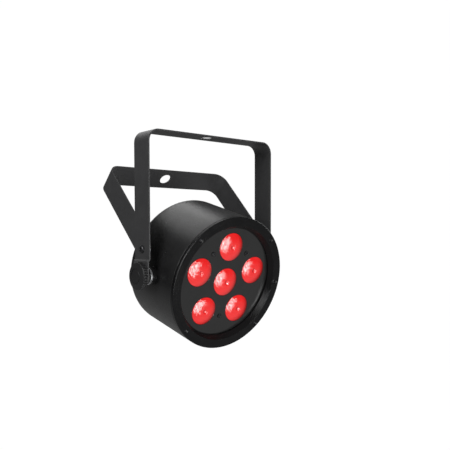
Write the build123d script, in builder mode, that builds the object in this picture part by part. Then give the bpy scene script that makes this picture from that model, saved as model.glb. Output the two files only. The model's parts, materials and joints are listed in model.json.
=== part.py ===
from build123d import *
from math import cos, radians, sin
import os

os.makedirs("parts", exist_ok=True)

# Bent steel strips
strip_w = 27.5
strip_t = 1.5
bend_r = 13.0
yoke_half = 87.2
yoke_rise = 124.2
step_out = 2.0
step_drop = 10.5
knob_drop = 28.35
rear_half = 84.1
rear_rise = 118.0
rear_lean = 44.6
rear_short = 6.0
clamp_r = 6.85

# Hinge screws between the two strips
pin_r = 2.5
pin_clear = 0.08
pin_head_r = 4.1
nut_af = 8.0

# Round head
drum_r = 75.0
drum_front = 40.4
drum_back = -47.1
drum_wall = 2.0
drum_fillet = 6.5
head_tilt = 15.3
bezel_t = 4.0
bezel_hole_r = 64.9
bezel_throat_r = 61.3
lens_pcd_r = 39.75
lens_r = 15.5
lens_rise = 3.0
plate_front = 32.4
plate_t = 2.0
board_front = 15.4
board_t = 1.6
sink_back = 9.8
sink_r = 66.0

# Knobs
stud_r = 4.0
stud_clear = 0.05
knob_r = 15.0
knob_face = 95.8
seat_r = 9.3
boss_r = 10.0
boss_end = 80.1

hinge_z = -yoke_rise
knob_z = -yoke_rise - knob_drop
arm_low = yoke_half + step_out
tilt_c = cos(radians(head_tilt))
tilt_s = sin(radians(head_tilt))

# The head's own plane: x to the right, y up its face, z out along the beam
head = Plane(origin=(0, 0, knob_z), x_dir=(1, 0, 0), z_dir=(0, -tilt_c, -tilt_s))
beam = head.z_dir
sides = (("left", -1), ("right", 1))
lens_spots = [(0.0, 0.0)] + [
    (lens_pcd_r * cos(radians(a)), lens_pcd_r * sin(radians(a)))
    for a in (90, 162, 234, 306, 18)
]


def save(part, name):
    part.label = name
    export_step(part, "parts/" + name + ".step")


def spot(x, y, z=0.0):
    """World point of a place given in the head's own plane."""
    return head.from_local_coords(Vector(x, y, z))


def section(x, y):
    """Plane through the beam direction at one spot: x across, y along the beam."""
    return Plane(origin=spot(x, y), x_dir=(1, 0, 0), z_dir=(0, tilt_s, -tilt_c))


def side_plane(x, lean=0.0, z=0.0):
    """Plane square to the pivot line: x to the rear, y up the strip."""
    b = radians(lean)
    return Plane(origin=(x, 0, z), x_dir=(0, cos(b), -sin(b)), z_dir=(1, 0, 0))


def strip_outline(half, rise, drop, step):
    """Right half of a bent strip's edge view, from the top corner round to it."""
    low = -rise - step_drop
    notch = strip_t * 0.4142
    if step == 0:
        return [(half, 0), (half, -rise - drop), (half - strip_t, -rise - drop), (half - strip_t, -strip_t)]
    return [
        (half, 0),
        (half, low),
        (half + step, low - step),
        (half + step, -rise - drop),
        (half + step - strip_t, -rise - drop),
        (half + step - strip_t, low - step - notch),
        (half - strip_t, low - notch),
        (half - strip_t, -strip_t),
    ]


def bent_strip(half, rise, lean, drop, step, holes):
    """U-shaped strap: bent strip, round lower ends, pivot holes and one hole in its top bar."""
    b = radians(lean)
    top = Vector(0, rise * sin(b), hinge_z + rise * cos(b))
    face = Plane(origin=top, x_dir=(1, 0, 0), z_dir=(0, -cos(b), sin(b)))
    right = strip_outline(half, rise, drop + strip_w, step)
    points = right + [(-x, y) for x, y in reversed(right)]
    with BuildPart() as strap:
        with BuildSketch(face) as edge_view:
            with BuildLine():
                Polyline(*points, close=True)
            make_face()
            fillet(edge_view.vertices().group_by(Axis.Y)[-2], bend_r - strip_t)
            fillet(edge_view.vertices().group_by(Axis.Y)[-1], bend_r)
        extrude(amount=strip_w / 2, both=True)
        with BuildSketch(side_plane(0, lean, hinge_z)):
            with Locations((0, (rise - drop) / 2 + 5)):
                Rectangle(strip_w, rise + drop + 10)
            with Locations((0, -drop)):
                Circle(strip_w / 2)
        extrude(amount=120, both=True, mode=Mode.INTERSECT)
        with BuildSketch(side_plane(0, lean, hinge_z)):
            for height, radius in holes:
                with Locations((0, height)):
                    Circle(radius)
        extrude(amount=120, both=True, mode=Mode.SUBTRACT)
        with BuildSketch(Plane(origin=top, x_dir=(1, 0, 0), z_dir=(0, sin(b), cos(b)))):
            Circle(clamp_r)
        extrude(amount=-strip_t, mode=Mode.SUBTRACT)
    return strap.part


def cylinder_x(x0, x1, radius, z):
    """Round bar along the pivot line; call inside a part."""
    with BuildSketch(Plane.YZ.offset(min(x0, x1))) as disc:
        with Locations((0, z)):
            Circle(radius)
    extrude(disc.sketch, amount=abs(x1 - x0))


def ring_x(x0, x1, radius, bore, z):
    """Washer or sleeve along the pivot line; call inside a part."""
    with BuildSketch(Plane.YZ.offset(min(x0, x1))) as ring:
        with Locations((0, z)):
            Circle(radius)
            Circle(bore, mode=Mode.SUBTRACT)
    extrude(ring.sketch, amount=abs(x1 - x0))


def post(x, y, z0, z1, radius):
    """Round bar along the beam; call inside a part."""
    with BuildSketch(head.offset(z0)) as disc:
        with Locations((x, y)):
            Circle(radius)
    extrude(disc.sketch, amount=z1 - z0)


def block(x, y, z0, z1, width, height):
    """Rectangular block along the beam; call inside a part."""
    with BuildSketch(head.offset(z0)) as face:
        with Locations((x, y)):
            Rectangle(width, height)
    extrude(face.sketch, amount=z1 - z0)


# Brackets
save(
    bent_strip(yoke_half, yoke_rise, 0.0, knob_drop, step_out, [(0, pin_r + pin_clear), (-knob_drop, stud_r + 0.3)]),
    "front_yoke",
)
save(bent_strip(rear_half, rear_rise, rear_lean, -rear_short, 0, [(0, pin_r + pin_clear)]), "rear_bracket")

with BuildPart() as hinge_screws:
    for name, side in sides:
        cylinder_x(side * 77.8, side * yoke_half, pin_r, hinge_z)
        cylinder_x(side * yoke_half, side * (yoke_half + 2.2), pin_head_r, hinge_z)
    for name, side in sides:
        rim = hinge_screws.edges().sort_by(Axis.X)[0 if side < 0 else -1]
        fillet(rim, 1.2)
    for name, side in sides:
        with BuildSketch(Plane.YZ.offset(side * (yoke_half + 1.0))):
            with Locations((0, hinge_z)):
                RegularPolygon(1.6, 6)
        extrude(amount=side * 3, mode=Mode.SUBTRACT)
save(hinge_screws.part, "hinge_screws")

with BuildPart() as hinge_nuts:
    for name, side in sides:
        with BuildSketch(Plane.YZ.offset(side * 78.6)):
            with Locations((0, hinge_z)):
                RegularPolygon(nut_af / 2, 6, major_radius=False, rotation=30)
                Circle(pin_r, mode=Mode.SUBTRACT)
        extrude(amount=side * 3.9)
save(hinge_nuts.part, "hinge_nuts")

with BuildPart() as hinge_washers:
    for name, side in sides:
        ring_x(side * (rear_half + 0.05), side * (yoke_half - strip_t - 0.05), 7.0, pin_r + pin_clear, hinge_z)
save(hinge_washers.part, "hinge_washers")

# Head shell
with BuildPart() as drum_housing:
    with BuildSketch(head.offset(drum_back)):
        Circle(drum_r)
    extrude(amount=drum_front - bezel_t - drum_back)
    fillet(drum_housing.edges().sort_by(Axis(head.origin, beam))[0], drum_fillet)
    offset(amount=-drum_wall, openings=drum_housing.faces().sort_by(Axis(head.origin, beam))[-1])
    for name, side in sides:
        cylinder_x(side * 67.0, side * boss_end, boss_r, knob_z)
    for x, y in [(70.0 * cos(radians(a)), 70.0 * sin(radians(a))) for a in (0, 45, 135, 225, 315)]:
        post(x, y, 22.3, 32.3, 3.6)
    with BuildSketch(head.offset(drum_back - 1)):
        Circle(57.0)
    extrude(amount=4, mode=Mode.SUBTRACT)
    with BuildSketch(side_plane(0, 0, knob_z)):
        Circle(5.5)
    extrude(amount=100, both=True, mode=Mode.SUBTRACT)
    with BuildSketch(head.offset(24.3)):
        with Locations((68.4, 0)):
            Circle(1.5)
        with PolarLocations(70.0, 4, start_angle=45):
            Circle(1.5)
    extrude(amount=10, mode=Mode.SUBTRACT)
    with BuildSketch(head.offset(drum_back - 1)):
        with PolarLocations(60.5, 6, start_angle=30):
            Circle(1.25)
    extrude(amount=4, mode=Mode.SUBTRACT)
save(drum_housing.part, "drum_housing")

with BuildPart() as front_bezel:
    with BuildSketch(section(0, 0)):
        with BuildLine():
            Polyline(
                (drum_r - 0.8, drum_front),
                (bezel_hole_r, drum_front),
                (bezel_throat_r, 34.4),
                (bezel_throat_r, 32.5),
                (72.6, 32.5),
                (72.6, drum_front - bezel_t),
                (drum_r, drum_front - bezel_t),
                (drum_r, drum_front - 0.8),
                close=True,
            )
        make_face()
    revolve(axis=Axis(head.origin, beam), revolution_arc=360)
    with BuildSketch(head.offset(30)):
        with Locations((68.4, 0)):
            Circle(1.6)
        with PolarLocations(70.0, 4, start_angle=45):
            Circle(1.6)
    extrude(amount=15, mode=Mode.SUBTRACT)
    with BuildSketch(head.offset(38.2)):
        with Locations((68.4, 0)):
            Circle(3.0)
        with PolarLocations(70.0, 4, start_angle=45):
            Circle(2.2)
    extrude(amount=5, mode=Mode.SUBTRACT)
save(front_bezel.part, "front_bezel")

with BuildPart() as bezel_screws:
    for a in (45, 135, 225, 315):
        post(70.0 * cos(radians(a)), 70.0 * sin(radians(a)), 25.0, 38.2, 1.5)
        post(70.0 * cos(radians(a)), 70.0 * sin(radians(a)), 38.2, 39.4, 2.1)
    post(68.4, 0, 25.0, 38.2, 1.5)
    post(68.4, 0, 38.2, 39.8, 2.8)
    with BuildSketch(head.offset(38.8)):
        with PolarLocations(70.0, 4, start_angle=45):
            RegularPolygon(1.0, 6)
        with Locations((68.4, 0)):
            RegularPolygon(1.4, 6)
    extrude(amount=2, mode=Mode.SUBTRACT)
save(bezel_screws.part, "bezel_screws")

# Lens plate and optics
plate_screw_spots = [(lens_pcd_r * cos(radians(a)), lens_pcd_r * sin(radians(a))) for a in (54, 126, 270)]
plate_back = plate_front - plate_t
with BuildPart() as lens_plate:
    with BuildSketch(head.offset(plate_back)):
        Circle(65.5)
        with Locations(*lens_spots):
            Circle(lens_r + 0.3, mode=Mode.SUBTRACT)
        with Locations(*plate_screw_spots):
            Circle(1.6, mode=Mode.SUBTRACT)
    extrude(amount=plate_t)
save(lens_plate.part, "lens_plate")

with BuildPart() as plate_screws:
    for x, y in plate_screw_spots:
        post(x, y, 24.0, plate_front, 1.5)
        post(x, y, plate_front, plate_front + 1.4, 2.4)
    with BuildSketch(head.offset(plate_front + 0.7)):
        with Locations(*plate_screw_spots):
            RegularPolygon(1.1, 6)
    extrude(amount=2, mode=Mode.SUBTRACT)
save(plate_screws.part, "plate_screws")

with BuildPart() as plate_standoffs:
    with BuildSketch(head.offset(board_front)):
        with Locations(*plate_screw_spots):
            RegularPolygon(3.2, 6)
    extrude(amount=plate_back - board_front)
    with BuildSketch(head.offset(22.0)):
        with Locations(*plate_screw_spots):
            Circle(1.5)
    extrude(amount=12, mode=Mode.SUBTRACT)
save(plate_standoffs.part, "plate_standoffs")


def make_lens(x, y):
    """Collimator: domed front, rim, cone and a pocket at its back for the emitter."""
    dome_r = (lens_r**2 + lens_rise**2) / (2 * lens_rise)
    mid_r = lens_r / 2
    mid_z = plate_front + lens_rise - dome_r + (dome_r**2 - mid_r**2) ** 0.5
    with BuildPart() as lens:
        with BuildSketch(section(x, y)):
            with BuildLine():
                ThreePointArc((0, plate_front + lens_rise), (mid_r, mid_z), (lens_r, plate_front))
                Polyline(
                    (lens_r, plate_front),
                    (lens_r, 30.9),
                    (6.0, 17.4),
                    (4.5, 17.4),
                    (4.5, 21.4),
                    (0, 22.4),
                    (0, plate_front + lens_rise),
                )
            make_face()
        revolve(axis=Axis(spot(x, y), beam), revolution_arc=360)
    return lens.part


for number, (x, y) in enumerate(lens_spots, start=1):
    save(make_lens(x, y), "lens_" + str(number))


def holder_cone(x, y):
    """Cup round one collimator; call inside a part."""
    with BuildSketch(section(x, y)) as profile:
        with BuildLine():
            Polyline(
                (17.0, 30.3),
                (17.0, 26.0),
                (9.5, board_front),
                (4.9, board_front),
                (4.9, 17.35),
                (6.5, 17.35),
                (15.9, 30.3),
                close=True,
            )
        make_face()
    revolve(profile.sketch, axis=Axis(spot(x, y), beam), revolution_arc=360)


with BuildPart() as lens_holders:
    for x, y in lens_spots:
        holder_cone(x, y)
save(lens_holders.part, "lens_holders")

with BuildPart() as led_emitters:
    for x, y in lens_spots:
        block(x, y, board_front, board_front + 1.0, 6.4, 6.4)
        post(x, y, board_front + 1.0, board_front + 2.6, 2.4)
    fillet(led_emitters.edges().filter_by(GeomType.CIRCLE).group_by(Axis(head.origin, beam))[-1], 1.2)
save(led_emitters.part, "led_emitters")

board_screw_spots = [(52 * cos(radians(a)), 52 * sin(radians(a))) for a in (54, 126, 198, 270, 342)]
with BuildPart() as led_board:
    with BuildSketch(head.offset(board_front - board_t)):
        Circle(60.0)
        with Locations(*board_screw_spots):
            Circle(1.6, mode=Mode.SUBTRACT)
    extrude(amount=board_t)
save(led_board.part, "led_board")

with BuildPart() as board_screws:
    for x, y in board_screw_spots:
        post(x, y, 10.8, board_front, 1.5)
        post(x, y, board_front, board_front + 1.6, 2.7)
save(board_screws.part, "board_screws")

# Heat sink and the frame that holds it
wall_inner = drum_back + drum_wall
post_spots = [(46, 40), (-46, 40), (-46, -40), (46, -40)]
spacer_spots = [(36.8, 38), (-36.8, 38), (-36.8, -38), (36.8, -38)]
with BuildPart() as heat_sink:
    with BuildSketch(head.offset(sink_back)):
        Circle(sink_r)
        with Locations(*board_screw_spots):
            Circle(1.5, mode=Mode.SUBTRACT)
    extrude(amount=board_front - board_t - sink_back)
    with BuildSketch(head.offset(-4.2)):
        with GridLocations(8, 0, 9, 1):
            Rectangle(2.0, 96)
    extrude(amount=sink_back + 4.2)
save(heat_sink.part, "heat_sink")

with BuildPart() as sink_posts:
    for x, y in post_spots:
        post(x, y, wall_inner, sink_back, 3.4)
save(sink_posts.part, "sink_posts")

# Power and drive electronics
with BuildPart() as board_spacers:
    with BuildSketch(head.offset(-10.4)):
        with Locations(*spacer_spots):
            Circle(2.4)
    extrude(amount=sink_back + 10.4)
    with BuildSketch(head.offset(-10.4)):
        with Locations(*spacer_spots):
            Circle(1.5)
    extrude(amount=8, mode=Mode.SUBTRACT)
save(board_spacers.part, "board_spacers")

with BuildPart() as power_board:
    with BuildSketch(head.offset(-12.0)):
        RectangleRounded(80, 84, 2)
        with Locations(*spacer_spots):
            Circle(1.6, mode=Mode.SUBTRACT)
    extrude(amount=1.6)
save(power_board.part, "power_board")

with BuildPart() as power_board_screws:
    for x, y in spacer_spots:
        post(x, y, -13.6, -12.0, 2.7)
        post(x, y, -12.0, -4.0, 1.5)
save(power_board_screws.part, "power_board_screws")

with BuildPart() as transformer:
    block(0, 18, -29.0, -12.0, 26, 20)
    block(0, 18, -27.0, -14.0, 30, 26)
save(transformer.part, "transformer")

with BuildPart() as capacitors:
    for x in (-26, 26):
        post(x, 12, -28.0, -12.0, 6.5)
    fillet(capacitors.edges().filter_by(GeomType.CIRCLE).group_by(Axis(head.origin, beam))[0], 1.0)
save(capacitors.part, "capacitors")

with BuildPart() as chokes:
    with BuildSketch(head.offset(-21.0)):
        with Locations((-22, -16), (22, -16)):
            Circle(7.5)
            Circle(3.0, mode=Mode.SUBTRACT)
    extrude(amount=9)
save(chokes.part, "chokes")

with BuildPart() as drive_chips:
    for x, y in ((-8, -12), (8, -12), (0, -28), (-14, -30), (14, -30)):
        block(x, y, -14.2, -12.0, 8, 6)
save(drive_chips.part, "drive_chips")

# Rear panel
panel_back = drum_back - 1.5
button_spots = [(x, 19.0) for x in (-21, -7, 7, 21)]
dmx_in, dmx_out = (-36.0, -7.0), (36.0, -7.0)
power_in, power_out = (-17.0, -40.0), (17.0, -40.0)
with BuildPart() as rear_panel:
    with BuildSketch(head.offset(panel_back)):
        Circle(64.0)
        with Locations((0, 38)):
            Rectangle(38, 15, mode=Mode.SUBTRACT)
        with Locations(*button_spots):
            Circle(3.06, mode=Mode.SUBTRACT)
        with Locations(dmx_in, dmx_out):
            Circle(12.0, mode=Mode.SUBTRACT)
        with Locations(power_in, power_out):
            Circle(12.0, mode=Mode.SUBTRACT)
        with PolarLocations(60.5, 6, start_angle=30):
            Circle(1.5, mode=Mode.SUBTRACT)
    extrude(amount=1.5)
save(rear_panel.part, "rear_panel")

with BuildPart() as rear_panel_screws:
    for a in range(30, 390, 60):
        post(60.5 * cos(radians(a)), 60.5 * sin(radians(a)), panel_back - 1.6, panel_back, 2.6)
        post(60.5 * cos(radians(a)), 60.5 * sin(radians(a)), panel_back, wall_inner + 2.0, 1.25)
save(rear_panel_screws.part, "rear_panel_screws")

with BuildPart() as display_window:
    block(0, 38, panel_back, drum_back, 37.8, 14.8)
    block(0, 38, drum_back, drum_back + 1.0, 42, 19)
save(display_window.part, "display_window")

with BuildPart() as display_module:
    block(0, 38, drum_back + 1.1, -41.8, 34, 12)
save(display_module.part, "display_module")

with BuildPart() as control_board:
    with BuildSketch(head.offset(-41.8)):
        with Locations((0, 30)):
            Rectangle(62, 36)
    extrude(amount=1.6)
save(control_board.part, "control_board")

with BuildPart() as button_switches:
    for x, y in button_spots:
        block(x, y, -43.3, -41.8, 6, 6)
save(button_switches.part, "button_switches")


def make_button(x, y):
    """Menu button: cap through the panel with a retaining collar behind it."""
    with BuildPart() as button:
        post(x, y, -50.4, -44.5, 3.0)
        post(x, y, -46.9, -46.1, 3.9)
        fillet(button.edges().filter_by(GeomType.CIRCLE).group_by(Axis(head.origin, beam))[0], 0.6)
    return button.part


for number, (x, y) in enumerate(button_spots, start=1):
    save(make_button(x, y), "menu_button_" + str(number))


def flange(spot_xy, width, height, bore):
    """Square connector flange lying on the rear panel; call inside a part."""
    with BuildSketch(head.offset(panel_back - 2.0)) as face:
        with Locations(spot_xy):
            RectangleRounded(width, height, 3)
            Circle(bore, mode=Mode.SUBTRACT)
    extrude(face.sketch, amount=2.0)


def tube(spot_xy, z0, z1, radius, bore):
    """Round sleeve along the beam; call inside a part."""
    with BuildSketch(head.offset(z0)) as ring:
        with Locations(spot_xy):
            Circle(radius)
            Circle(bore, mode=Mode.SUBTRACT)
    extrude(ring.sketch, amount=z1 - z0)


def pins(spot_xy, z0, z1, radius, ring, angles):
    """Contact pins on a ring; call inside a part."""
    for a in angles:
        post(spot_xy[0] + ring * cos(radians(a)), spot_xy[1] + ring * sin(radians(a)), z0, z1, radius)


with BuildPart() as dmx_in_shell:
    flange(dmx_in, 26, 31, 9.4)
    tube(dmx_in, panel_back, -31.0, 11.8, 9.4)
save(dmx_in_shell.part, "dmx_in_shell")

with BuildPart() as dmx_in_insert:
    post(dmx_in[0], dmx_in[1], -35.0, -31.0, 9.3)
save(dmx_in_insert.part, "dmx_in_insert")

with BuildPart() as dmx_in_pins:
    pins(dmx_in, -47.0, -35.0, 1.2, 4.9, (30, 150, 270))
save(dmx_in_pins.part, "dmx_in_pins")

with BuildPart() as dmx_out_shell:
    flange(dmx_out, 26, 31, 10.0)
    tube(dmx_out, panel_back, -31.0, 11.8, 10.0)
    with BuildSketch(head.offset(panel_back - 2.0)):
        with Locations((dmx_out[0], dmx_out[1] + 12.6)):
            Rectangle(6.2, 3.2)
    extrude(amount=2.0, mode=Mode.SUBTRACT)
save(dmx_out_shell.part, "dmx_out_shell")

with BuildPart() as dmx_out_insert:
    post(dmx_out[0], dmx_out[1], -33.0, -31.0, 9.9)
    post(dmx_out[0], dmx_out[1], -49.0, -33.0, 8.2)
    with BuildSketch(head.offset(-49.0)):
        with Locations(dmx_out):
            with Locations((4.24, 2.45), (-4.24, 2.45), (0, -4.9)):
                Circle(1.4)
    extrude(amount=12, mode=Mode.SUBTRACT)
save(dmx_out_insert.part, "dmx_out_insert")

with BuildPart() as dmx_latch:
    block(dmx_out[0], dmx_out[1] + 12.6, panel_back - 3.4, panel_back - 1.6, 6.0, 3.0)
save(dmx_latch.part, "dmx_latch")

with BuildPart() as power_in_shell:
    flange(power_in, 26, 27, 10.2)
    tube(power_in, panel_back, -31.0, 11.8, 10.2)
    post(power_in[0], power_in[1], -33.0, -31.0, 10.2)
save(power_in_shell.part, "power_in_shell")

with BuildPart() as power_in_core:
    tube(power_in, -48.0, -33.0, 4.6, 2.4)
    for x, y in ((0, 7.4), (0, -7.4)):
        block(power_in[0] + x, power_in[1] + y, -46.0, -33.0, 4.4, 1.2)
save(power_in_core.part, "power_in_core")

with BuildPart() as power_out_shell:
    flange(power_out, 26, 27, 10.2)
    tube(power_out, panel_back, -31.0, 11.8, 10.2)
    post(power_out[0], power_out[1], -33.0, -31.0, 10.2)
save(power_out_shell.part, "power_out_shell")

with BuildPart() as power_out_core:
    tube(power_out, -48.0, -33.0, 4.6, 2.4)
    for x, y in ((0, 7.4), (0, -7.4)):
        block(power_out[0] + x, power_out[1] + y, -46.0, -33.0, 4.4, 1.2)
save(power_out_core.part, "power_out_core")

with BuildPart() as safety_loop:
    with BuildLine(section(0, 55)) as loop_path:
        Polyline((-7, panel_back), (-7, panel_back - 5))
        ThreePointArc((-7, panel_back - 5), (0, panel_back - 12), (7, panel_back - 5))
        Polyline((7, panel_back - 5), (7, panel_back))
    with BuildSketch(Plane(origin=spot(-7, 55, panel_back), x_dir=(1, 0, 0), z_dir=-beam)):
        Circle(1.8)
    sweep(path=loop_path.wires()[0])
save(safety_loop.part, "safety_loop")

# Pivot stack on each side
with BuildPart() as boss_inserts:
    for name, side in sides:
        ring_x(side * 67.2, side * 80.0, 5.5, stud_r + stud_clear, knob_z)
save(boss_inserts.part, "boss_inserts")

with BuildPart() as boss_washers:
    for name, side in sides:
        ring_x(side * (boss_end + 0.05), side * (boss_end + 2.25), 9.4, stud_r + 0.3, knob_z)
save(boss_washers.part, "boss_washers")

with BuildPart() as friction_sleeves:
    for name, side in sides:
        ring_x(side * (boss_end + 2.3), side * (arm_low - strip_t - 0.05), 7.6, stud_r + 0.3, knob_z)
save(friction_sleeves.part, "friction_sleeves")


def make_knob(side):
    """Round hand knob: sloping cap with a ring groove, ribbed side and a seat for its washer."""
    base = arm_low + 0.3
    seat = arm_low + 1.1
    cap = knob_face - 1.2
    shoulder = knob_face - 2.9
    with BuildPart() as knob:
        with BuildSketch(Plane(origin=(0, 0, knob_z), x_dir=(1, 0, 0), z_dir=(0, -1, 0))):
            with BuildLine():
                Polyline(
                    (side * shoulder, knob_r),
                    (side * base, knob_r),
                    (side * base, seat_r),
                    (side * seat, seat_r),
                    (side * seat, 0),
                    (side * knob_face, 0),
                    (side * knob_face, 8.6),
                    (side * cap, knob_r - 1.6),
                )
                ThreePointArc(
                    (side * cap, knob_r - 1.6),
                    (side * (cap - 0.65), knob_r - 0.55),
                    (side * shoulder, knob_r),
                )
            make_face()
        revolve(axis=Axis((0, 0, knob_z), (1, 0, 0)), revolution_arc=360)
        with BuildSketch(Plane.YZ.offset(side * (base + 0.6))):
            with Locations((0, knob_z)):
                with PolarLocations(knob_r + 0.1, 30):
                    Circle(0.75)
        extrude(amount=side * (cap - base - 1.1), mode=Mode.SUBTRACT)
        with BuildSketch(Plane.YZ.offset(side * (knob_face - 0.6))):
            with Locations((0, knob_z)):
                Circle(8.4)
                Circle(7.2, mode=Mode.SUBTRACT)
        extrude(amount=side * 2, mode=Mode.SUBTRACT)
        with BuildSketch(Plane.YZ.offset(side * seat)):
            with Locations((0, knob_z)):
                Circle(stud_r)
        extrude(amount=side * 3.5, mode=Mode.SUBTRACT)
    return knob.part


for name, side in sides:
    save(make_knob(side), name + "_knob")
    with BuildPart() as stud:
        cylinder_x(side * 69.0, side * (arm_low + 4.6), stud_r, knob_z)
        chamfer(stud.edges().filter_by(GeomType.CIRCLE).sort_by(Axis.X)[-1 if side < 0 else 0], 0.6)
    save(stud.part, name + "_knob_stud")
    with BuildPart() as washer:
        ring_x(side * (arm_low + 0.05), side * (arm_low + 1.05), 9.0, stud_r + 0.3, knob_z)
    save(washer.part, name + "_knob_washer")
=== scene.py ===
import json
import math

import bmesh
import bpy
import numpy as np
from mathutils import Matrix, Vector


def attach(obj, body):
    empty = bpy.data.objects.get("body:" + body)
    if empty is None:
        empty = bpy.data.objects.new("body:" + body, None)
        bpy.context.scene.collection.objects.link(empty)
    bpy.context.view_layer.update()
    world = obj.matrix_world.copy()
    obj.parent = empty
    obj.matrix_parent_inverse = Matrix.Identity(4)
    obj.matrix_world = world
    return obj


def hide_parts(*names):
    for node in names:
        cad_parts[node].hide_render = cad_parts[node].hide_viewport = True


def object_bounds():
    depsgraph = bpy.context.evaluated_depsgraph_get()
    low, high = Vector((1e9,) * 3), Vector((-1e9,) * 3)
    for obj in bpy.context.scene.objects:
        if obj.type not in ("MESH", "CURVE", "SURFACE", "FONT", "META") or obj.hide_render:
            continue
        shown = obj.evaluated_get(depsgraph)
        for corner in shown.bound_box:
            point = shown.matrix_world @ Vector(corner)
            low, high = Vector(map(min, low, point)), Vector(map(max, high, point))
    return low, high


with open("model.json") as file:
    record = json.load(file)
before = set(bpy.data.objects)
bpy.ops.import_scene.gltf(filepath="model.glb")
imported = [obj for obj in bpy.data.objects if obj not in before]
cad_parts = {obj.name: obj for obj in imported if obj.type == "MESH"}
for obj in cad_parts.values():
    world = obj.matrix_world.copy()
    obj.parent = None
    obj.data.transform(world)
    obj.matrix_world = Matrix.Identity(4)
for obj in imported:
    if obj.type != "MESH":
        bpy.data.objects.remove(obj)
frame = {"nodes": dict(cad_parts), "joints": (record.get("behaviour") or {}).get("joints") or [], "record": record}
cad_low, cad_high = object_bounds()
MM = 0.001

# ---------------------------------------------------------------- frame
JOINTS = {j["name"]: j for j in frame["joints"]}
HINGE = Vector(JOINTS["rear_bracket_hinge"]["pos_m"])
PIVOT = Vector(JOINTS["head_tilt"]["pos_m"])
BEAM = Vector(JOINTS["menu_button_1_press"]["axis"]).normalized()
LEAN = math.radians(-JOINTS["rear_bracket_hinge"]["range_deg"][0])
ACROSS = Vector((1, 0, 0))
UP = BEAM.cross(ACROSS)
HEAD = Matrix((ACROSS, UP, BEAM)).transposed().to_4x4()
HEAD.translation = PIVOT


def head_at(x, y, z=0.0):
    """The head's own frame (x right, y up its face, z along the beam), moved to a spot in mm."""
    return HEAD @ Matrix.Translation((x * MM, y * MM, z * MM))


def pivot_at(side, x, z):
    """Frame on the pivot line: z points out of that side, starting x mm from the middle."""
    out = Vector((side, 0, 0))
    up = Vector((0, 0, 1))
    m = Matrix((up.cross(out), up, out)).transposed().to_4x4()
    m.translation = Vector((side * x * MM, 0, z))
    return m


# ---------------------------------------------------------------- materials
BARE_EDGE = (0.32, 0.32, 0.33)
EDGE_RANGE, CHIP_RANGE = (0.52, 0.60), (0.45, 0.62)
CHIP_SCALE, SMUDGE_SCALE = 260.0, 120.0
GRAIN_DEPTH = 0.25 * MM


def material(name, color, rough, metal=0.0, grain=1800.0, bump=0.12, vary=0.25, wear=0.0, **more):
    """Layered finish: broad and fine colour changes, uneven gloss, fine grain and rubbed edges."""
    mat = bpy.data.materials.new(name)
    mat.use_nodes = True
    nodes, links = mat.node_tree.nodes, mat.node_tree.links
    bsdf = nodes["Principled BSDF"]
    bsdf.inputs["Metallic"].default_value = metal
    bsdf.inputs["Specular IOR Level"].default_value = more.get("specular", 0.5)
    bsdf.inputs["Coat Weight"].default_value = more.get("coat", 0.0)
    bsdf.inputs["Coat Roughness"].default_value = more.get("coat_rough", 0.15)
    coord = nodes.new("ShaderNodeTexCoord")
    stretch = nodes.new("ShaderNodeMapping")
    stretch.inputs["Scale"].default_value = more.get("stretch", (1, 1, 1))
    links.new(coord.outputs["Object"], stretch.inputs["Vector"])

    def noise(scale, detail, roughness=0.55):
        n = nodes.new("ShaderNodeTexNoise")
        n.inputs["Scale"].default_value = scale
        n.inputs["Detail"].default_value = detail
        n.inputs["Roughness"].default_value = roughness
        links.new(stretch.outputs["Vector"], n.inputs["Vector"])
        return n.outputs["Fac"]

    def mapped(value, low, high, start=0.3, end=0.7):
        m = nodes.new("ShaderNodeMapRange")
        m.inputs["From Min"].default_value = start
        m.inputs["From Max"].default_value = end
        m.inputs["To Min"].default_value = low
        m.inputs["To Max"].default_value = high
        links.new(value, m.inputs["Value"])
        return m.outputs["Result"]

    def feed(socket, value):
        """Links another node's result to a socket, or sets the socket to a number or a colour."""
        if isinstance(value, bpy.types.NodeSocket):
            links.new(value, socket)
        elif isinstance(value, (int, float)):
            socket.default_value = value
        else:
            socket.default_value = (*value, 1)

    def mixed(factor, first, second):
        m = nodes.new("ShaderNodeMix")
        m.data_type = "RGBA"
        feed(m.inputs["Factor"], factor)
        feed(m.inputs["A"], first)
        feed(m.inputs["B"], second)
        return m.outputs["Result"]

    def product(first, second):
        m = nodes.new("ShaderNodeMath")
        m.operation = "MULTIPLY"
        feed(m.inputs[0], first)
        feed(m.inputs[1], second)
        return m.outputs["Value"]

    light = [min(1, c * (1 + vary) + 0.001) for c in color]
    dark = [c * (1 - vary) for c in color]
    broad = noise(more.get("broad", 45.0), 4)
    fine = noise(grain, 3, 0.6)
    tone = mixed(mapped(broad, 0, 1), dark, light)
    tone = mixed(mapped(fine, 0, 0.5), tone, light)
    if wear > 0:
        geometry = nodes.new("ShaderNodeNewGeometry")
        edge = mapped(geometry.outputs["Pointiness"], 0, 1, *EDGE_RANGE)
        chips = mapped(noise(CHIP_SCALE, 5, 0.7), 0, 1, *CHIP_RANGE)
        tone = mixed(product(product(edge, chips), wear), tone, BARE_EDGE)
    links.new(tone, bsdf.inputs["Base Color"])
    spread = more.get("spread", 0.08)
    gloss = mapped(noise(SMUDGE_SCALE, 5), rough - spread, rough + spread)
    links.new(gloss, bsdf.inputs["Roughness"])
    relief = nodes.new("ShaderNodeBump")
    relief.inputs["Strength"].default_value = bump
    relief.inputs["Distance"].default_value = GRAIN_DEPTH
    links.new(fine, relief.inputs["Height"])
    links.new(relief.outputs["Normal"], bsdf.inputs["Normal"])
    return mat


POWDER = dict(grain=2600, bump=0.30, vary=0.10, broad=30, spread=0.04)
SATIN = dict(specular=0.8, grain=1500, bump=0.05, vary=0.12, spread=0.03)
RIBBED = dict(grain=3200, bump=0.2, vary=0.12, wear=0.04, specular=0.25, spread=0.04)
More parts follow.
